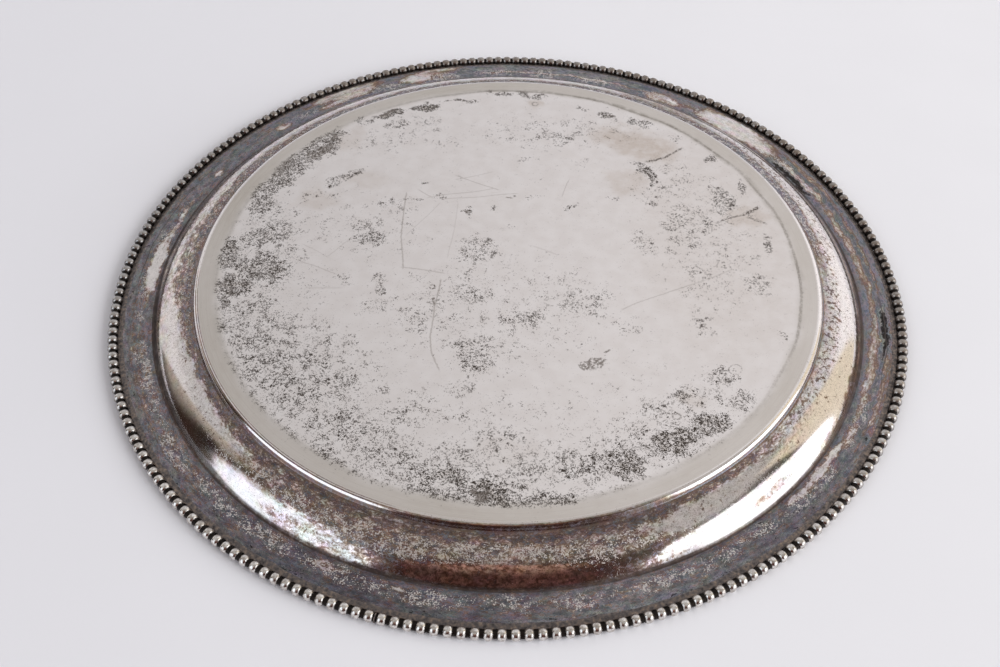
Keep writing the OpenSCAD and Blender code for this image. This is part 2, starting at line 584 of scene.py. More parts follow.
def line_field(x, y, strokes, rings=()):
    """How many line widths each point is off the nearest line, with a sign, and the line's strength."""
    best = np.full_like(x, 1e9)
    off = np.zeros_like(x)
    strength = np.zeros_like(x)
    for x0, y0, x1, y1, width, power in strokes:
        length = math.hypot(x1 - x0, y1 - y0)
        ux, uy = (x1 - x0) / length, (y1 - y0) / length
        along = (x - x0) * ux + (y - y0) * uy
        across = (y - y0) * ux - (x - x0) * uy
        beyond = np.maximum(np.maximum(-along, along - length), 0)
        gap = np.hypot(across, beyond)
        closer = gap < best
        best = np.where(closer, gap, best)
        off = np.where(closer, across / width, off)
        strength = np.where(closer, power * (1 - smoothstep(beyond, 0, 1.6)), strength)
    for cx, cy, radius, width, power in rings:
        across = np.hypot(x - cx, y - cy) - radius
        closer = np.abs(across) < best
        best = np.where(closer, np.abs(across), best)
        off = np.where(closer, across / width, off)
        strength = np.where(closer, power, strength)
    return off, strength * (1 - smoothstep(best, 1.8, 3.0))


def base_marks(x, y, r, azimuth):
    """Speck density, solid spots and stains on the flat base."""
    wobble_x = x + 3.0 * rough_waves(x, y, 8, 11)
    wobble_y = y + 3.0 * rough_waves(x, y, 8, 21)
    near_edge = smoothstep(r, 52, 92) * (1 - smoothstep(r, 108, 111))
    lower_left = 1 - smoothstep(np.abs(turn_gap(azimuth, -125)), 40, 95)
    spread = 0.09 + 0.50 * near_edge * lower_left * (0.8 + 0.4 * waves(x, y, 12, 5))
    density = np.maximum(strongest_blob(wobble_x, wobble_y, SPECK_PATCHES), spread)
    density *= 1 - smoothstep(r, 109, 112)
    solid = strongest_blob(wobble_x, wobble_y, SOLID_SPOTS)
    stain = strongest_blob(wobble_x, wobble_y, STAINS)
    return density, solid, stain


def band_and_grime(x, y, r, azimuth):
    """The outer band of the base, and a soft darker ring where it begins, strongest on the far right.
    """
    side = 0.80 + 0.20 * smoothstep(np.abs(turn_gap(azimuth, -5)), 50, 95)
    band = smoothstep(r + 0.8 * waves(x, y, 9, 95), 106.5, 111.5)
    band = band * side * (0.85 + 0.15 * waves(x, y, 30, 96))
    grime = bump(r + 0.6 * waves(x, y, 10, 91), BAND_R + 0.2, 1.6)
    return band, grime * (0.35 + 0.65 * facing(azimuth, 60, 60))


def rim_film(x, y, r, azimuth):
    """Film thickness and silver flecks on the rim."""
    turn = -((-azimuth) % 360)
    r_wobble = r + 1.0 * rough_waves(x, y, 6, 41) + 0.35 * waves(x, y, 1.5, 43)
    turn_wobble = turn + 1.6 * rough_waves(x, y, 7, 51) + 0.5 * waves(x, y, 2, 53)
    film = np.full_like(x, 0.59)
    for place, radius, half_turn, half_width, target in RIM_PATCHES:
        loose = min(1.0, half_turn / 4)
        gap = turn_gap(blend(loose, turn, turn_wobble), place) / half_turn
        off = (blend(loose, r, r_wobble) - radius) / half_width
        film = blend(1 - smoothstep(np.hypot(gap, off), 0.55, 1.15), film, target)
    flecks = bump(r_wobble, 138.0, 5.5) * (0.84 + 0.5 * waves(x, y, 9, 31))
    plain = np.maximum(facing(azimuth, -212, 26), facing(azimuth, -5, 45))
    return film, np.clip(flecks * (1 - 0.8 * plain), 0, 1)


def step_film(x, y, r, azimuth):
    """Film thickness on the step, with bright lines along it on the near and the left sides."""
    streaks = 0.5 + 0.5 * np.sin(r * 9.0 + 1.2 * waves(x, y, 30, 151))
    film = 0.02 + (0.36 + 0.30 * streaks) * smoothstep(r, 116.9, 117.2)
    left = 0.46 - 0.44 * (smoothstep(r, 115.5, 115.6) - smoothstep(r, 115.9, 116.0))
    left = left - 0.44 * (smoothstep(r, 116.3, 116.4) - smoothstep(r, 116.8, 116.95))
    film = blend(smoothstep(facing(azimuth, -140, 62), 0.15, 0.55), film, left)
    near = 0.27 * smoothstep(r, 115.8, 116.0) + 0.20 * smoothstep(r, 116.4, 116.6)
    return blend(smoothstep(facing(azimuth, -86, 40), 0.2, 0.6), film, near)


def bouge_film(x, y, r, azimuth):
    """Film thickness, silver flecks and dark islands on the step and the bouge."""
    r_wobble = r + 0.8 * rough_waves(x, y, 6, 141)
    film = np.full_like(x, 0.20)
    flecks = np.full_like(x, 0.4)
    islands = np.full_like(x, 0.3)
    for place, half_turn, radius, half_width, film_to, flecks_to, islands_to in BOUGE_ZONES:
        gap = turn_gap(azimuth, place) / half_turn
        inside = 1 - smoothstep(np.hypot(gap, (r_wobble - radius) / half_width), 0.55, 1.15)
        film = blend(inside, film, film_to)
        flecks = blend(inside, flecks, flecks_to)
        islands = blend(inside, islands, islands_to)
    on_step = 1 - smoothstep(r, *STEP_TO_BOUGE)
    film = blend(on_step, film, step_film(x, y, r, azimuth))
    return film, flecks * (1 - on_step), islands * (1 - 0.7 * on_step)


def crease_shade(x, y, r, azimuth):
    """Painted shade in the crease between the bouge and the rim, and a thin line of it just outside."""
    wider_at_left = 0.9 * smoothstep(facing(azimuth, -158, 34), 0.0, 0.5)
    crease = smoothstep(r + wider_at_left, 132.5, 133.0) * (1 - smoothstep(r, 133.8, 134.3))
    return np.maximum(crease, 0.8 * bump(r, 134.9, 0.35)) * (0.85 + 0.15 * waves(x, y, 25, 97))


def calm_places(r, azimuth):
    """Where the film is even: on the far side, on the step and low on the bouge at the lights."""
    far = 0.8 * smoothstep(np.abs(turn_gap(azimuth, -125)), 75, 110)
    low_bouge = smoothstep(r, 124.5, 126.5) * (1 - smoothstep(r, 133, 134))
    at_lights = np.maximum(facing(azimuth, -148, 36), facing(azimuth, -40, 36))
    on_step = 1 - smoothstep(r, 117.8, 118.8)
    return np.maximum(np.maximum(far, low_bouge * smoothstep(at_lights, 0.1, 0.5)), on_step)


def near_shade(x, y, r, azimuth, on_rim):
    """Painted shade: darker film at the near foot of the bouge and on the near side of the rim."""
    foot = 0.75 * smoothstep(facing(azimuth, -98, 62), 0.0, 0.5) * bump(r, 119.3, 3.0)
    rim = np.maximum(facing(azimuth, -110, 40), 0.55 * facing(azimuth, -50, 28))
    return foot + on_rim * np.clip(rim * (0.9 + 0.4 * waves(x, y, 12, 409)), 0, 1)


def edge_lines(x, y, r, azimuth, on_base, on_rim):
    """A wavering line where the solder has crept onto the rim, and a dark line on the base where its
    outer band begins.
    """
    creep_off = (r - 141.8 - 0.9 * rough_waves(x, y, 14, 401)) / 0.28
    creep_power = 0.25 + 0.65 * np.maximum(facing(azimuth, -178, 45), facing(azimuth, 0, 45))
    creep_power = creep_power * on_rim * (0.7 + 0.5 * waves(x, y, 18, 403))
    grime_off = (r - BAND_R - 0.45 * waves(x, y, 14, 405)) / 0.75
    grime_power = 0.08 + 0.52 * smoothstep(facing(azimuth, 40, 100), 0.05, 0.5)
    grime_power = grime_power * on_base * (0.8 + 0.35 * waves(x, y, 10, 407))
    grime_power = grime_power * (np.abs(grime_off) < 6)
    inner = r < 125
    power = np.where(inner, grime_power, creep_power)
    return np.where(inner, grime_off, creep_off), np.clip(power, 0, 1)


# ---------------------------------------------------------------- the body


def mark_body(body, x, y, side):
    """Stores the tarnish, the marks and the painted shade on the body's points. The serving side has
    next to none.
    """
    r = np.hypot(x, y)
    azimuth = azimuth_at(x, y)
    outside = (side > 0).astype(float)
    on_base = 1 - smoothstep(r, *BASE_TO_STEP)
    on_rim = smoothstep(r, *BOUGE_TO_RIM)
    off_base = outside * (1 - on_base)
    upper = outside * on_base

    density, solid, stain = base_marks(x, y, r, azimuth)
    band, grime = band_and_grime(x, y, r, azimuth)
    film_rim, flecks_rim = rim_film(x, y, r, azimuth)
    film_bouge, flecks_bouge, islands_bouge = bouge_film(x, y, r, azimuth)
    film = off_base * blend(on_rim, film_bouge, film_rim) + 0.05 * (1 - outside)
    flecks = off_base * blend(on_rim, flecks_bouge, flecks_rim)
    islands = off_base * blend(on_rim, islands_bouge, 0.25)
    # Off the base this channel carries painted shade on the near side; on the base it carries real
    # stains.
    stain = stain * upper + near_shade(x, y, r, azimuth, on_rim) * off_base
    # Painted shade: the crease and a thin line just outside it are darkened.
    crease = outside * crease_shade(x, y, r, azimuth)
    calm = outside * calm_places(r, azimuth)
    add_attribute(body, "film", (film, flecks, on_base, outside))
    add_attribute(body, "marks", (density * upper, solid * upper, stain, islands))
    add_attribute(body, "edges", (band * upper, grime * upper, crease, calm))

    bent_x = x + 0.6 * waves(x, y, 16, 301)
    bent_y = y + 0.6 * waves(x, y, 16, 302)
    off_a, power_a = line_field(bent_x, bent_y, SCRATCHES_A)
    off_b, power_b = line_field(bent_x, bent_y, SCRATCHES_B)
    off_dark, power_dark = line_field(bent_x, bent_y, GOUGES, RING_MARKS)
    edge_off, edge_power = edge_lines(x, y, r, azimuth, on_base, on_rim)
    add_attribute(body, "scratches", (off_a, power_a * upper, off_b, power_b * upper))
    add_attribute(body, "gouges", (off_dark, power_dark * upper, edge_off, edge_power * outside))


def build_body():
    """The spun sheet, a little uneven from hand work and from wear."""
    points, faces, side = spin_sheet()
    x, y = points[:, 0], points[:, 1]
    r = np.hypot(x, y)
    uneven = 0.05 * smoothstep(r, 120, 134) * (1 - smoothstep(r, 140, 144)) * waves(x, y, 24, 3)
    uneven += 0.04 * (1 - smoothstep(r, 90, 108)) * waves(x, y, 45, 4)
    points[:, 2] += np.minimum(uneven, 0.0) - 0.02 * (r < 108)
    body = make_object("salver_sheet", points, faces)
    mark_body(body, x, y, side)
    return body


# ---------------------------------------------------------------- beaded wire and solder

# Where the rings of points lie along one pitch of the wire, in half pitches from the bead's middle
BEAD_FLANK = (0.25, 0.45, 0.58, 0.67, 0.73, 0.78, 0.84, 0.92)
BEAD_STATIONS = (-1.0, *(-s for s in reversed(BEAD_FLANK)), 0, *BEAD_FLANK)


def far_side(azimuth):
    """1 on the side of the border that is cleanest between its beads, 0 opposite it."""
    return 1 - smoothstep(np.abs(turn_gap(azimuth, 80)), 42, 68)


def wire_radius(off_middle, half_length, size):
    """Radius of the wire at some distance from the middle of a bead."""
    t = min(1.0, off_middle / half_length)
    ball = BEAD_R * size * (1 - t**3.0) ** (1 / 2.2)
    return min(BEAD_R, (ball**6 + GROOVE_R**6) ** (1 / 6))


def build_bead_border():
    """One closed wire with a bead every pitch, cut off square at the joint."""
    rng = np.random.default_rng(7)
    half = TAU * BORDER_R / BEAD_COUNT / 2
    points, groove, height = [], [], []
    for i in range(BEAD_COUNT):
        size = 1 - 0.012 * rng.random()
        flat = 1 - 0.02 * rng.random()
        lean = rng.normal(0, 0.02)
        far = far_side(JOINT_AZIMUTH + (i + 0.5) * 360 / BEAD_COUNT)
        half_length = blend(far, BEAD_HALF_LENGTH, FAR_BEAD_HALF_LENGTH)
        stations = [s * half for s in BEAD_STATIONS]
        if i == 0:
            stations[0] = -half + JOINT_LEN / 2
        if i == BEAD_COUNT - 1:
            stations.append(half - JOINT_LEN / 2)
        for s in stations:
            radius = wire_radius(abs(s), half_length, size)
            a = math.radians(JOINT_AZIMUTH) + (i * 2 * half + half + s) / BORDER_R
            for k in range(WIRE_SIDES):
                out, up = math.cos(TAU * k / WIRE_SIDES), math.sin(TAU * k / WIRE_SIDES)
                r = BORDER_R + radius * out * (1 + lean * up)
                points.append(round_point(r, a, BEAD_R + radius * up * (flat if up > 0 else 1)))
                groove.append(abs(s) / half - 0.16 * far)
                height.append(up)
    faces = tube_faces(len(points) // WIRE_SIDES, WIRE_SIDES)
    wire = make_object("beaded_wire", points, faces)
    mark_wire(wire, np.array(points), np.array(groove), np.array(height))
    return wire


def mark_wire(wire, points, groove, height):
    """Stores how deep in a groove each point is, how bronze its bead is, and where it stays black."""
    x, y = points[:, 0], points[:, 1]
    azimuth = azimuth_at(x, y)
    bronze = 0.20 + 0.80 * (1 - smoothstep(np.abs(turn_gap(azimuth, 65)), 55, 115))
    bronze = bronze * (0.75 + 0.25 * waves(x, y, 20, 15))
    near = 1 - smoothstep(np.abs(turn_gap(azimuth, -95)), 40, 95)
    inner = smoothstep(BORDER_R - np.hypot(x, y), 1.55, 1.95) * near
    unworn = 0.9 * (1 - smoothstep(height, 0.35, 0.75)) * (1 - near)
    add_attribute(wire, "bead", (groove, bronze, near, np.maximum(inner, unworn)))


def build_border_solder():
    """Uneven solder between the rim's edge and the beads. Its inner edge runs up onto the rim."""
    count = 1440
    angles = np.linspace(0, TAU, count, endpoint=False)
    x, y = RIM_EDGE_R * np.cos(angles), RIM_EDGE_R * np.sin(angles)
    creep = 0.15 + 0.55 * np.maximum(rough_waves(x, y, 9, 101), 0)
    level = 0.12 * rough_waves(x, y, 5, 111)
    top = RIM_MID_Z + SHEET_T / 2
    low = RIM_MID_Z - SHEET_T / 2
    points, faces = [], []
    for a, crept, lift in zip(angles.tolist(), creep.tolist(), level.tolist()):
        inner = RIM_EDGE_R - 0.55 - max(0.05, crept)
        section = [
            (inner, top - 0.03),
            (inner + 0.18, top + 0.05),
            (RIM_EDGE_R - 0.5, top + 0.05),
            (RIM_EDGE_R - 0.05, top + 0.01),
            (RIM_EDGE_R + 0.35, top - 0.14 + lift),
            (RIM_EDGE_R + 0.9, top - 0.32 + lift),
            (RIM_EDGE_R + 1.35, top - 0.30 + lift),
            (RIM_EDGE_R + 1.35, 1.55 + lift * 0.5),
            (RIM_EDGE_R + 0.4, 1.4 + lift * 0.5),
            (RIM_EDGE_R - 0.3, low + 0.15),
            (RIM_EDGE_R - 0.9, low + 0.1),
            (RIM_EDGE_R - 0.9, top - 0.3),
        ]
        points += [round_point(r, a, z) for r, z in section]
    m = len(section)
    for i in range(count):
        j = (i + 1) % count
        for k in range(m):
            q = (k + 1) % m
            faces.append((i * m + k, j * m + k, j * m + q, i * m + q))
    return make_object("border_solder_seam", points, faces)


def build_joint_solder():
    """A lumpy collar of solder that closes the joint in the wire."""
    sides, slices = 28, 7
    points = []
    for i in range(slices + 1):
        t = -1 + 2 * i / slices
        swell = 1.62 + 0.12 * math.sqrt(1 - t * t * 0.98)
        a = math.radians(JOINT_AZIMUTH) + t * JOINT_LEN * 0.62 / BORDER_R
        for k in range(sides):
            b = TAU * k / sides
            radius = swell + 0.04 * math.sin(3 * b + 1.3) + 0.03 * math.sin(5 * b)
            r = BORDER_R + radius * math.cos(b)
            points.append(round_point(r, a, BEAD_R + radius * math.sin(b)))
    return make_object("wire_joint_collar", points, tube_faces(slices + 1, sides))


# ---------------------------------------------------------------- shader helpers


class Graph:
    """Short names for the nodes of one tree."""

    def __init__(self, tree):
        self.tree = tree

    def add(self, kind, **settings):
        node = self.tree.nodes.new(kind)
        for name, value in settings.items():
            setattr(node, name, value)
        return node

    def put(self, socket, value):
        """Links a socket to an input, or sets the input to a plain value."""
        if isinstance(value, bpy.types.NodeSocket):
            self.tree.links.new(value, socket)
        elif value is not None:
            socket.default_value = value

    def math(self, operation, a, b=None, clamp=False):
        node = self.add("ShaderNodeMath", operation=operation, use_clamp=clamp)
        self.put(node.inputs[0], a)
        self.put(node.inputs[1], b)
        return node.outputs[0]

    def plus(self, a, b):
        return self.math("ADD", a, b)

    def minus(self, a, b):
        return self.math("SUBTRACT", a, b)

    def times(self, a, b):
        return self.math("MULTIPLY", a, b)

    def larger(self, a, b, clamp=False):
        return self.math("MAXIMUM", a, b, clamp)

    def folded(self, noise):
        """How far a noise is from its middle, which is small along winding threads."""
        return self.math("ABSOLUTE", self.minus(noise, 0.5))

    def vector(self, operation, a, b=None, c=None, scale=None):
        node = self.add("ShaderNodeVectorMath", operation=operation)
        for socket, value in zip(node.inputs, (a, b, c, scale)):
            self.put(socket, value)
        return node.outputs["Value" if operation in ("DOT_PRODUCT", "LENGTH") else "Vector"]

    def combine(self, x=0.0, y=0.0, z=0.0):
        node = self.add("ShaderNodeCombineXYZ")
        for socket, value in zip(node.inputs, (x, y, z)):
            self.put(socket, value)
        return node.outputs[0]

    def separate(self, vector):
        node = self.add("ShaderNodeSeparateXYZ")
        self.put(node.inputs[0], vector)
        return node.outputs

    def step(self, value, low, high, to_low=0.0, to_high=1.0):
        """A smooth change from to_low to to_high while the value goes from low to high."""
        node = self.add("ShaderNodeMapRange", interpolation_type="SMOOTHSTEP")
        for socket, v in zip(node.inputs, (value, low, high, to_low, to_high)):
            self.put(socket, v)
        return node.outputs[0]

    def blend(self, factor, a, b):
        """Mixes two numbers."""
        node = self.add("ShaderNodeMix", data_type="FLOAT")
        self.put(node.inputs[0], factor)
        self.put(node.inputs[2], a)
        self.put(node.inputs[3], b)
        return node.outputs[0]

    def mix(self, factor, a, b, blend="MIX"):
        """Mixes two colours."""
        node = self.add("ShaderNodeMix", data_type="RGBA", blend_type=blend)
        self.put(node.inputs[0], factor)
        self.put(node.inputs[6], rgba(a))
        self.put(node.inputs[7], rgba(b))
        return node.outputs[2]

    def layered(self, colour, layers):
        """Lays colours over a first one. Each layer is how much of it shows, and its colour."""
        for amount, laid in layers:
            colour = self.mix(amount, colour, laid)
        return colour

    def noise(self, vector, scale, detail=2.0, roughness=0.5, distortion=0.0, output=0):
        node = self.add("ShaderNodeTexNoise")
        self.put(node.inputs["Vector"], vector)
        self.put(node.inputs["Scale"], scale)
        self.put(node.inputs["Detail"], detail)
        self.put(node.inputs["Roughness"], roughness)
        self.put(node.inputs["Distortion"], distortion)
        return node.outputs[output]

    def noise_colour(self, vector, scale):
        """Three noises at once, each about 0.5."""
        return self.noise(vector, scale, output="Color")

    def cells(self, vector, scale):
        """Distance to the nearest of some scattered points."""
        node = self.add("ShaderNodeTexVoronoi", feature="F1")
        self.put(node.inputs["Vector"], vector)
        self.put(node.inputs["Scale"], scale)
        return node.outputs["Distance"]

    def ramp(self, factor, stops):
        node = self.add("ShaderNodeValToRGB")
        self.put(node.inputs[0], factor)
        elements = node.color_ramp.elements
        while len(elements) < len(stops):
            elements.new(0.5)
        for element, (position, colour) in zip(elements, stops):
            element.position = position
            element.color = rgba(colour)
        return node.outputs[0]

    def relief(self, height, strength, depth):
        """A normal bent by fine relief of some depth in millimetres."""
        node = self.add("ShaderNodeBump")
        self.put(node.inputs["Strength"], strength)
        self.put(node.inputs["Distance"], depth * MM)
        self.put(node.inputs["Height"], height)
        return node.outputs[0]

    def attribute(self, name):
        """The red, green, blue and alpha channels of a colour attribute."""
        node = self.add("ShaderNodeAttribute", attribute_name=name)
        parts = self.add("ShaderNodeSeparateColor")
        self.put(parts.inputs[0], node.outputs["Color"])
        return parts.outputs[0], parts.outputs[1], parts.outputs[2], node.outputs["Alpha"]


def rgba(colour):
    """Adds alpha to a plain colour, and leaves a socket as it is."""
    return (*colour, 1.0) if isinstance(colour, tuple) else colour


def new_material(name):
    """A material, its graph, its Principled shader and the place of the shaded point in millimetres."""
    material = bpy.data.materials.new(name)
    material.use_nodes = True
    tree = material.node_tree
    tree.nodes.clear()
    graph = Graph(tree)
    output = graph.add("ShaderNodeOutputMaterial")
    shader = graph.add("ShaderNodeBsdfPrincipled")
    tree.links.new(shader.outputs[0], output.inputs[0])
    place = graph.add("ShaderNodeTexCoord").outputs["Object"]
    return material, graph, shader, graph.vector("SCALE", place, scale=1 / MM)


# ---------------------------------------------------------------- silver plate

# Colour of tarnish as its film gets thicker
FILM_STOPS = [
    (0.00, (0.90, 0.86, 0.845)),
    (0.10, (0.84, 0.79, 0.775)),
    (0.20, (0.62, 0.575, 0.55)),
    (0.30, (0.40, 0.325, 0.275)),
    (0.38, (0.26, 0.18, 0.14)),
    (0.46, (0.20, 0.15, 0.135)),
    (0.53, (0.29, 0.25, 0.26)),
    (0.60, (0.27, 0.27, 0.30)),
    (0.67, (0.14, 0.15, 0.175)),
    (0.74, (0.19, 0.205, 0.20)),
    (0.80, (0.40, 0.39, 0.39)),
    (0.88, (0.13, 0.13, 0.14)),
    (1.00, (0.03, 0.027, 0.025)),
]

# Colours of the film's light and dark places, of the painted shade on its near side, and of the tints
# that wander in it
FILM_DEEP = (0.70, 0.68, 0.69)
FILM_LIGHT = (1.26, 1.24, 1.22)
FILM_SHADE = (0.56, 0.54, 0.58)
TINT_LEAST = (0.69, 0.79, 0.69)
TINT_SPREAD = (0.62, 0.40, 0.62)

# Colours of the base and of the marks on it
BASE_WHITE = (0.89, 0.85, 0.84)
BASE_GREY = (0.845, 0.80, 0.785)
STAIN_TAN = (0.62, 0.53, 0.46)
BAND_BEIGE = (0.58, 0.53, 0.475)
LATHE_BEIGE = (0.80, 0.77, 0.72)
DARK_RING_BROWN = (0.34, 0.31, 0.27)
SPECK_TAN = (0.42, 0.37, 0.32)
SPECK_DARK = (0.075, 0.06, 0.05)
SPOT_BROWN = (0.20, 0.17, 0.15)
HAIR_GREY = (0.5, 0.46, 0.43)
SCRATCH_GREY = (0.36, 0.32, 0.29)
GOUGE_DARK = (0.12, 0.10, 0.085)
BAND_LINE_DARK = (0.20, 0.17, 0.14)

# Colours of the marks in the film on the bouge and the rim
FLECK_SILVER = (0.80, 0.76, 0.73)
PIT_BROWN = (0.14, 0.10, 0.085)
CRACK_DARK = (0.09, 0.06, 0.045)
CREEP_DARK = (0.10, 0.085, 0.08)
# Painted shade in the crease
CREASE_SHADE_DARK = (0.06, 0.045, 0.04)

# Colours of the serving side
SERVED_SILVER = (0.90, 0.87, 0.84)
SERVED_HAIR = (0.62, 0.58, 0.54)
SERVED_STAIN = (0.74, 0.68, 0.58)

# The radius that every ring is shrunk to where marks are drawn out along the rings
RING_NOISE_R = 62.0


def plate_noises(g, place):
    """Places and noises that several marks share. In ring, marks are drawn out along the rings."""
    s = SimpleNamespace(place=place)
    s.flat = g.vector("MULTIPLY", place, (1, 1, 0))
    s.radius = g.vector("LENGTH", s.flat)
    shrunk = g.vector("SCALE", s.flat, scale=g.math("DIVIDE", RING_NOISE_R, s.radius))
    s.ring = g.vector("ADD", shrunk, g.combine(z=s.radius))
    s.broad = g.noise(place, 0.16, 2, 0.5)
    s.clumps = g.noise(place, 0.34, 4, 0.62)
    s.dots = g.noise(place, 1.9, 3, 0.62)
    return s


def speck_masks(g, s, density, solid):
    """Lacy specks, the tan ground that fills the densest of them, and solid spots.

    The specks are short dark threads that run round pale cells, with single dots among them.
    """
    lively = g.plus(density, g.times(g.minus(s.clumps, 0.5), 1.6))
    threads = g.folded(g.noise(s.place, 0.84, 3, 0.62, 0.9))
    width = g.step(lively, 0.1, 1.1, 0.018, 0.068)
    threads = g.step(threads, g.times(width, 0.7), width, 1.0, 0.0)
    break_level = g.step(lively, 0.05, 0.95, 0.65, 0.37)
    unbroken = g.step(g.noise(s.place, 1.15, 2, 0.55), break_level, g.plus(break_level, 0.025))
    dot_level = g.step(lively, 0.05, 1.1, 0.69, 0.55)
    dots = g.step(s.dots, dot_level, g.plus(dot_level, 0.04))
    specks = g.larger(g.times(threads, unbroken), dots, clamp=True)
    specks = g.times(specks, g.step(lively, 0.05, 0.7, 0.26, 1.0))
    filled = g.times(g.step(density, 0.72, 1.0), g.step(s.clumps, 0.40, 0.58))
    grain = g.step(g.noise(s.place, 0.9, 3, 0.6), 0.38, 0.56)
    return specks, filled, g.times(g.step(solid, 0.30, 0.65), grain)


def hairlines(g, s):
    """Fine straight hairlines in a few directions, each with its own turn and place in the noise."""
    hairs = 0.0
    for turn, shift in ((20, 3.1), (75, 8.7), (130, 15.3)):
        mapping = g.add("ShaderNodeMapping")
        g.put(mapping.inputs["Vector"], s.flat)
        g.put(mapping.inputs["Rotation"], (0, 0, math.radians(turn)))
        g.put(mapping.inputs["Scale"], (0.035, 2.6, 1))
        g.put(mapping.inputs["Location"], (shift, shift * 2, 0))
        line = g.folded(g.noise(mapping.outputs[0], 1.0, 1, 0.5))
        hairs = g.larger(hairs, g.step(line, 0.0, 0.014, 1.0, 0.0))
    return g.times(hairs, g.step(s.clumps, 0.45, 0.65))


def drawn_line(g, off, power, ragged, full=0.3):
    """A line where the stored distance off it is under one line width, with a ragged edge."""
    distance = g.math("ABSOLUTE", g.plus(off, ragged))
    return g.times(g.step(distance, full, 1.0, 1.0, 0.0), power)


def film_here(g, s, m):
    """The stored film with mottling, and with dark islands where they are stored."""
    mottle = g.minus(g.noise(s.ring, 0.30, 4, 0.66), 0.5)
    fine_mottle = g.minus(g.noise(s.ring, 1.3, 3, 0.68, 0.5), 0.5)
    unrest = g.times(g.step(m.film, 0.0, 0.35, 0.35, 1.0), g.step(m.calm, 0.0, 1.0, 1.0, 0.38))
    change = g.plus(g.times(mottle, 0.75), g.times(fine_mottle, 1.5))
    film = g.plus(m.film, g.times(change, unrest))
    level = g.step(m.islands, 0.0, 1.0, 0.72, 0.50)
    island = g.step(g.noise(s.place, 0.62, 4, 0.66), level, g.plus(level, 0.035))
    return g.larger(film, g.times(island, g.step(mottle, -0.15, 0.15, 0.32, 0.52)), clamp=True)


def fleck_mask(g, s, m):
    """Small silver cells where the film has gone."""
    bent = g.vector("ADD", s.place, g.vector("SCALE", g.noise_colour(s.place, 1.1), scale=0.9))
    clump = g.step(g.noise(s.place, 0.55, 4, 0.66), 0.34, 0.60)
    size = g.times(clump, g.step(m.flecks, 0.0, 0.9, 0.0, 0.62))
    mask = g.step(g.cells(bent, 1.9), g.times(size, 0.78), g.plus(size, 0.001), 1.0, 0.0)
    return g.times(mask, g.step(m.film, 0.05, 0.3, 0.3, 0.8))


def plate_marks(g, s):
    """The channels stored by mark_body, and the masks made from them."""
    m = SimpleNamespace()
    m.film, m.flecks, m.on_base, m.outside = g.attribute("film")
    density, solid, m.stain, m.islands = g.attribute("marks")
    m.band, m.grime, m.crease, m.calm = g.attribute("edges")
    off_a, power_a, off_b, power_b = g.attribute("scratches")
    off_dark, power_dark, edge_off, edge_power = g.attribute("gouges")
    ragged = g.times(g.minus(g.noise(s.place, 0.8, 4, 0.66), 0.5), 2.4)
    m.specks, m.filled, m.spots = speck_masks(g, s, density, solid)
    m.hairs = hairlines(g, s)
    m.scratches = g.larger(drawn_line(g, off_a, power_a, ragged), drawn_line(g, off_b, power_b, ragged))
    gouges = drawn_line(g, off_dark, power_dark, ragged)
    m.gouges = g.times(gouges, g.step(s.dots, 0.46, 0.52, 0.05, 1.0))
    m.edge_line = drawn_line(g, edge_off, edge_power, g.times(ragged, 0.5), 0.35)
    m.film_here = film_here(g, s, m)
    m.fleck_mask = fleck_mask(g, s, m)
    return m


def base_colour(g, s, m):
    """Colour of the base: silver, its outer band with the lathe's fine rings, and every mark."""
    turned = g.combine(g.times(s.radius, 1.6), g.times(s.broad, 2.0))
    lathe_rings = g.step(g.noise(turned, 1.0, 3, 0.7), 0.40, 0.62)
    silver = g.mix(g.step(s.broad, 0.3, 0.7), BASE_WHITE, BASE_GREY)
    layers = [
        (g.times(m.stain, g.step(s.clumps, 0.25, 0.6, 0.5, 0.95)), STAIN_TAN),
        (g.times(m.band, 0.9), BAND_BEIGE),
        # A soft darker ring where the outer band begins, strongest on the far right.
        (g.times(m.grime, g.step(s.clumps, 0.3, 0.62, 0.15, 0.9)), DARK_RING_BROWN),
        (g.times(m.filled, 0.45), SPECK_TAN),
        (m.specks, SPECK_DARK),
        (g.times(m.spots, 0.85), SPOT_BROWN),
        (g.times(g.times(lathe_rings, m.band), 0.30), LATHE_BEIGE),
        (g.times(m.hairs, 0.12), HAIR_GREY),
        (g.times(m.scratches, 0.62), SCRATCH_GREY),
        (m.gouges, GOUGE_DARK),
        # A dark line on the base where its outer band begins.
        (g.times(m.edge_line, g.step(s.dots, 0.40, 0.55, 0.25, 0.95)), BAND_LINE_DARK),
    ]
    return g.layered(silver, layers)


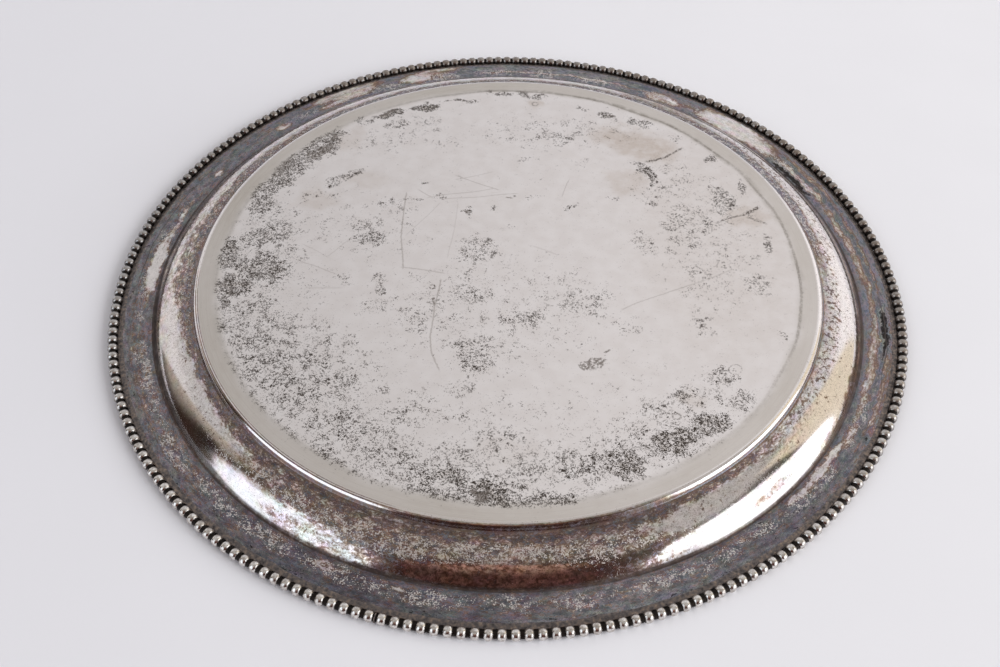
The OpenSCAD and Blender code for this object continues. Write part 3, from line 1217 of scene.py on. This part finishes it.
def tarnish_colour(g, s, m):
    """Colour of the film on the bouge and the rim, with flecks, pits, cracks and painted shade in the
    crease.
    """
    colour = g.ramp(m.film_here, FILM_STOPS)
    depth = g.step(g.noise(s.ring, 0.62, 4, 0.7), 0.36, 0.64)
    uneven = g.times(g.step(m.calm, 0.0, 1.0, 1.0, 0.30), g.step(m.film, 0.10, 0.32, 0.20, 1.0))
    colour = g.mix(uneven, colour, g.mix(depth, FILM_DEEP, FILM_LIGHT), "MULTIPLY")
    # Painted shade: the near foot of the bouge and the near side of the rim are darkened.
    colour = g.mix(m.stain, colour, FILM_SHADE, "MULTIPLY")
    tint = g.vector("MULTIPLY_ADD", g.noise_colour(s.ring, 0.40), TINT_SPREAD, TINT_LEAST)
    colour = g.mix(g.step(m.film, 0.03, 0.20, 0.0, 0.9), colour, tint, "MULTIPLY")
    pits = g.step(g.noise(s.place, 1.9, 2, 0.6), 0.61, 0.68)
    cracks = g.step(g.folded(g.noise(s.place, 0.75, 3, 0.62, 0.6)), 0.004, 0.02, 1.0, 0.0)
    layers = [
        (m.fleck_mask, FLECK_SILVER),
        (g.times(pits, 0.55), PIT_BROWN),
        (g.times(cracks, g.step(m.islands, 0.25, 0.7, 0.0, 0.85)), CRACK_DARK),
        (m.edge_line, CREEP_DARK),
        # Painted shade: the crease is darkened nearly to black.
        (g.times(m.crease, g.step(s.clumps, 0.3, 0.6, 0.80, 1.0)), CREASE_SHADE_DARK),
    ]
    return g.layered(colour, layers)


def served_colour(g, s, m):
    """Colour of the serving side, which the photograph doesn't show."""
    layers = [
        (g.times(m.hairs, 0.35), SERVED_HAIR),
        (g.step(s.broad, 0.45, 0.72, 0.0, 0.35), SERVED_STAIN),
    ]
    return g.layered(SERVED_SILVER, layers)


def plate_roughness(g, s, m):
    """Clean silver is the glossiest. Specks, thick film, flecks and the crease are duller."""
    base = g.plus(0.30, g.times(m.specks, 0.30))
    tarnish = g.step(m.film_here, 0.15, 0.75, 0.10, 0.36)
    tarnish = g.plus(tarnish, g.times(m.fleck_mask, 0.26))
    tarnish = g.plus(tarnish, g.times(m.crease, 0.25))
    served = g.step(s.broad, 0.3, 0.7, 0.12, 0.22)
    return g.blend(m.outside, served, g.blend(m.on_base, tarnish, base))


def plate_relief(g, s, m):
    """Fine unevenness, with specks, scratches and gouges cut into it."""
    height = g.times(g.noise(s.place, 1.6, 4, 0.65), 0.35)
    for mark, depth in ((m.specks, 0.5), (m.scratches, 0.8), (m.gouges, 1.0)):
        height = g.minus(height, g.times(mark, depth))
    return g.relief(height, 0.35, 0.03)


def silver_material():
    """Silver plate with specks, stains, scratches and a film of tarnish."""
    material, g, shader, place = new_material("tarnished_silver_plate")
    s = plate_noises(g, place)
    m = plate_marks(g, s)
    outside = g.mix(m.on_base, tarnish_colour(g, s, m), base_colour(g, s, m))
    g.put(shader.inputs["Base Color"], g.mix(m.outside, served_colour(g, s, m), outside))
    g.put(shader.inputs["Metallic"], 1.0)
    g.put(shader.inputs["Roughness"], plate_roughness(g, s, m))
    g.put(shader.inputs["Normal"], plate_relief(g, s, m))
    return material


# ---------------------------------------------------------------- beads and solder

BEAD_BRIGHT = (0.90, 0.88, 0.855)
BEAD_DULL = (0.52, 0.48, 0.45)
BEAD_FAR = (0.26, 0.265, 0.28)
BRONZE_FAR = (0.25, 0.195, 0.15)
BRONZE_NEAR = (0.40, 0.33, 0.26)
BEAD_PIT = (0.18, 0.14, 0.11)
OXIDE_BLACK = (0.022, 0.018, 0.016)
SOLDER_PIT = (0.05, 0.04, 0.035)
SOLDER_STOPS = [
    (0.30, (0.06, 0.053, 0.05)),
    (0.46, (0.15, 0.135, 0.135)),
    (0.58, (0.25, 0.205, 0.18)),
    (0.72, (0.44, 0.34, 0.27)),
]


def bead_material():
    """Bright silver beads with black oxide in the grooves between them."""
    material, g, shader, place = new_material("oxidised_bead_silver")
    groove, bronzed, near, inner = g.attribute("bead")
    mottle = g.noise(place, 0.9, 3, 0.6)
    fine = g.noise(place, 3.0, 3, 0.6)
    black = g.step(g.plus(groove, g.times(g.minus(fine, 0.5), 0.35)), 0.56, 0.66)
    inner_black = g.times(inner, g.step(mottle, 0.25, 0.6, 0.5, 1.0))
    silver = g.mix(g.step(mottle, 0.35, 0.65), BEAD_BRIGHT, BEAD_DULL)
    silver = g.mix(near, g.mix(0.62, silver, BEAD_FAR), silver)
    bronze = g.mix(g.step(near, 0.0, 0.35), BRONZE_FAR, BRONZE_NEAR)
    layers = [
        (g.times(bronzed, g.step(mottle, 0.3, 0.62, 0.55, 0.98)), bronze),
        (g.times(g.step(fine, 0.62, 0.72), 0.7), BEAD_PIT),
        (g.larger(black, inner_black), OXIDE_BLACK),
    ]
    g.put(shader.inputs["Base Color"], g.layered(silver, layers))
    g.put(shader.inputs["Metallic"], 1.0)
    rough = g.plus(g.step(mottle, 0.3, 0.7, 0.07, 0.18), g.times(bronzed, 0.16))
    g.put(shader.inputs["Roughness"], g.plus(rough, g.times(black, 0.3)))
    height = g.plus(mottle, g.times(fine, 0.35))
    g.put(shader.inputs["Normal"], g.relief(height, 0.7, 0.12))
    return material


def solder_material():
    """Dark solder with a coppery edge."""
    material, g, shader, place = new_material("dark_solder")
    mottle = g.noise(place, 0.8, 4, 0.65)
    fine = g.noise(place, 3.2, 3, 0.6)
    colour = g.mix(g.step(fine, 0.55, 0.7, 0.0, 0.6), g.ramp(mottle, SOLDER_STOPS), SOLDER_PIT)
    g.put(shader.inputs["Base Color"], colour)
    g.put(shader.inputs["Metallic"], 1.0)
    g.put(shader.inputs["Roughness"], g.step(mottle, 0.3, 0.7, 0.5, 0.28))
    g.put(shader.inputs["Normal"], g.relief(fine, 0.6, 0.06))
    return material


# ---------------------------------------------------------------- the pieces

SILVER = silver_material()
BEADS = bead_material()
SOLDER = solder_material()

body = build_body()
body.data.materials.append(SILVER)
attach(body, "root")
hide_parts("salver_body")

wire = build_bead_border()
wire.data.materials.append(BEADS)
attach(wire, "root")
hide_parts("bead_border")

seam = build_border_solder()
seam.data.materials.append(SOLDER)
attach(seam, "root")
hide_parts("border_solder")

collar = build_joint_solder()
collar.data.materials.append(SOLDER)
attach(collar, "root")
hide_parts("wire_joint_solder")

# ---------------------------------------------------------------- table

TABLE_HALF = 8000
TABLE_SHADED_LEFT = (0.78, 0.78, 0.82)
TABLE_LIT_RIGHT = (0.92, 0.92, 0.95)
TABLE_GRAIN = (0.7, 0.7, 0.72)


def table_material():
    """Pale matt card, with painted light: brighter towards the right-hand light."""
    material, g, shader, place = new_material("pale_table")
    # Painted light: the card's colour grows brighter towards the right.
    colour = g.mix(g.step(g.separate(place)[0], -350, 350), TABLE_SHADED_LEFT, TABLE_LIT_RIGHT)
    grain = g.step(g.noise(place, 0.02, 2, 0.5), 0.3, 0.7, 0.0, 0.05)
    g.put(shader.inputs["Base Color"], g.mix(grain, colour, TABLE_GRAIN))
    g.put(shader.inputs["Roughness"], 0.9)
    g.put(shader.inputs["Specular IOR Level"], 0.1)
    return material


def build_table():
    corners = [(x * TABLE_HALF, y * TABLE_HALF, 0) for x, y in ((-1, -1), (1, -1), (1, 1), (-1, 1))]
    made = make_object("table", corners, [(0, 1, 2, 3)], smooth=False)
    made.data.materials.append(table_material())
    return made


table = build_table()

# ---------------------------------------------------------------- studio round the table

# Light from each part of the room. The salver mirrors all of it.
ROOM_DARK = (0.09, 0.075, 0.06)
CEILING = (0.50, 0.475, 0.455)
BACKDROP_RIGHT = (0.79, 0.775, 0.775)
BACKDROP_LEFT = (0.58, 0.57, 0.57)
LOW_RIGHT = (1.05, 1.02, 1.02)
LOW_MIDDLE = (0.60, 0.595, 0.62)
LOW_LEFT = (0.78, 0.76, 0.76)
CREAM = (0.84, 0.75, 0.60)
DOOR_FRAME = (0.46, 0.41, 0.35)
DOOR_DARK = (0.035, 0.022, 0.017)
CAMERA_DARK = (0.05, 0.04, 0.03)
JACKET_LOW = (0.10, 0.047, 0.04)
JACKET_HIGH = (0.44, 0.27, 0.21)
LEFT_LIGHT = (1.22, 1.30, 1.42)
RIGHT_LIGHT = (6.0, 6.05, 6.2)
RIGHT_MIRRORED = (1.75, 1.77, 1.83)
RIGHT_MIRRORED_DIM = (0.92, 0.93, 0.97)
BELOW = (0.75, 0.75, 0.77)
SEEN_WALL = (0.80, 0.80, 0.83)


def direction(azimuth, elevation):
    a, e = math.radians(azimuth), math.radians(elevation)
    return (math.cos(e) * math.cos(a), math.cos(e) * math.sin(a), math.sin(e))


class Sky(Graph):
    """A world's graph, with the azimuth and elevation that each ray goes to, in degrees."""

    def __init__(self, tree):
        super().__init__(tree)
        self.towards = self.vector("NORMALIZE", self.add("ShaderNodeTexCoord").outputs["Generated"])
        x, y, z = self.separate(self.towards)
        self.elevation = self.math("DEGREES", self.math("ARCSINE", z))
        self.azimuth = self.math("DEGREES", self.math("ARCTAN2", y, x))

    def sector(self, low, high, soft):
        """1 between two azimuths."""
        past_low = self.step(self.azimuth, low - soft, low + soft)
        return self.times(past_low, self.step(self.azimuth, high - soft, high + soft, 1.0, 0.0))

    def below(self, low, high):
        """1 below the lower elevation and 0 above the higher one."""
        return self.step(self.elevation, low, high, 1.0, 0.0)

    def disc(self, azimuth, elevation, radius, soft=0.6):
        """1 within some degrees of a direction."""
        aligned = self.vector("DOT_PRODUCT", self.towards, direction(azimuth, elevation))
        gap = self.math("DEGREES", self.math("ARCCOSINE", aligned))
        return self.step(gap, radius - soft, radius + soft, 1.0, 0.0)


def room_colour(g):
    """A dark room with a pale ceiling, a backdrop behind the salver and a cream strip at its right."""
    backdrop = g.mix(g.step(g.azimuth, 78, 112), BACKDROP_RIGHT, BACKDROP_LEFT)
    low_backdrop = g.mix(g.step(g.azimuth, 45, 75), LOW_RIGHT, LOW_MIDDLE)
    low_backdrop = g.mix(g.step(g.azimuth, 110, 135), low_backdrop, LOW_LEFT)
    backdrop = g.mix(g.step(g.elevation, 22, 38), low_backdrop, backdrop)
    colour = g.mix(g.step(g.elevation, 42, 48), ROOM_DARK, CEILING)
    colour = g.mix(g.times(g.sector(28, 166, 2), g.below(60, 74)), colour, backdrop)
    return g.mix(g.times(g.sector(6, 30, 1.5), g.below(47, 50)), colour, CREAM)


def with_doorway(g, colour):
    """Adds a dark doorway on the left, whose frame leans over it."""
    leaning = g.minus(g.azimuth, g.times(g.elevation, 0.3))
    dark_side = g.times(g.step(leaning, 154, 168), g.below(29, 38))
    doorway = g.mix(dark_side, DOOR_FRAME, DOOR_DARK)
    doorway = g.mix(g.step(g.elevation, -1, 12, 0.85, 0.0), doorway, DOOR_DARK)
    return g.mix(g.times(g.step(leaning, 152, 153.5), g.below(44, 46)), colour, doorway)


def with_camera_side(g, colour):
    """Adds the darkness round the camera, with a red jacket in it."""
    colour = g.mix(g.times(g.sector(-122, -54, 3), g.below(54, 60)), colour, CAMERA_DARK)
    jacket = g.mix(g.step(g.elevation, 36, 52), JACKET_LOW, JACKET_HIGH)
    return g.mix(g.disc(-91, 25, 31.5), colour, jacket)


def with_lights(g, colour, mirrored):
    """Adds the two soft lights. Each is a disc with a foot, and the right one lights the table."""
    right = g.larger(g.disc(-22.5, 9.5, 32.6), g.times(g.sector(-52, 9, 1), g.below(8, 12)))
    left = g.larger(g.disc(-151.5, 23.5, 24.2), g.times(g.sector(-174.5, -128, 1), g.below(20, 26)))
    near_end = g.times(g.step(g.azimuth, -41, -33, 1.0, 0.0), g.below(18, 24))
    in_mirror = g.mix(near_end, RIGHT_MIRRORED, RIGHT_MIRRORED_DIM)
    colour = g.mix(right, colour, g.mix(mirrored, RIGHT_LIGHT, in_mirror))
    return g.mix(left, colour, LEFT_LIGHT)


def build_studio():
    """Soft light by direction. The camera itself sees a plain pale wall."""
    world = bpy.data.worlds.new("studio")
    bpy.context.scene.world = world
    world.use_nodes = True
    world.node_tree.nodes.clear()
    g = Sky(world.node_tree)
    rays = g.add("ShaderNodeLightPath").outputs
    colour = with_camera_side(g, with_doorway(g, room_colour(g)))
    colour = with_lights(g, colour, rays["Is Glossy Ray"])
    lit = g.add("ShaderNodeBackground")
    g.put(lit.inputs[0], g.mix(g.below(-3, 0), colour, BELOW))
    seen = g.add("ShaderNodeBackground")
    g.put(seen.inputs[0], rgba(SEEN_WALL))
    chosen = g.add("ShaderNodeMixShader")
    for socket, value in zip(chosen.inputs, (rays["Is Camera Ray"], lit.outputs[0], seen.outputs[0])):
        g.put(socket, value)
    g.put(g.add("ShaderNodeOutputWorld").inputs[0], chosen.outputs[0])
    bpy.context.scene.view_settings.view_transform = "Standard"


build_studio()

# ---------------------------------------------------------------- camera

LENS = 42.9
VIEW_ELEVATION = 47.45
VIEW_DISTANCE = 443.6
VIEW_TARGET = (-2.85, -23.3, 0)
VIEW_ROLL = 0.38


def build_camera():
    """The photograph's view: its lens, its height and its slight roll."""
    data = bpy.data.cameras.new("camera")
    data.sensor_width = 36
    data.lens = LENS
    data.clip_start = 0.01
    data.clip_end = 20
    made = bpy.data.objects.new("camera", data)
    bpy.context.scene.collection.objects.link(made)
    back = Vector(direction(-90, VIEW_ELEVATION))
    made.location = (Vector(VIEW_TARGET) + back * VIEW_DISTANCE) * MM
    made.rotation_euler = back.to_track_quat("Z", "Y").to_euler()
    made.rotation_euler.rotate_axis("Z", math.radians(VIEW_ROLL))
    bpy.context.scene.camera = made


build_camera()
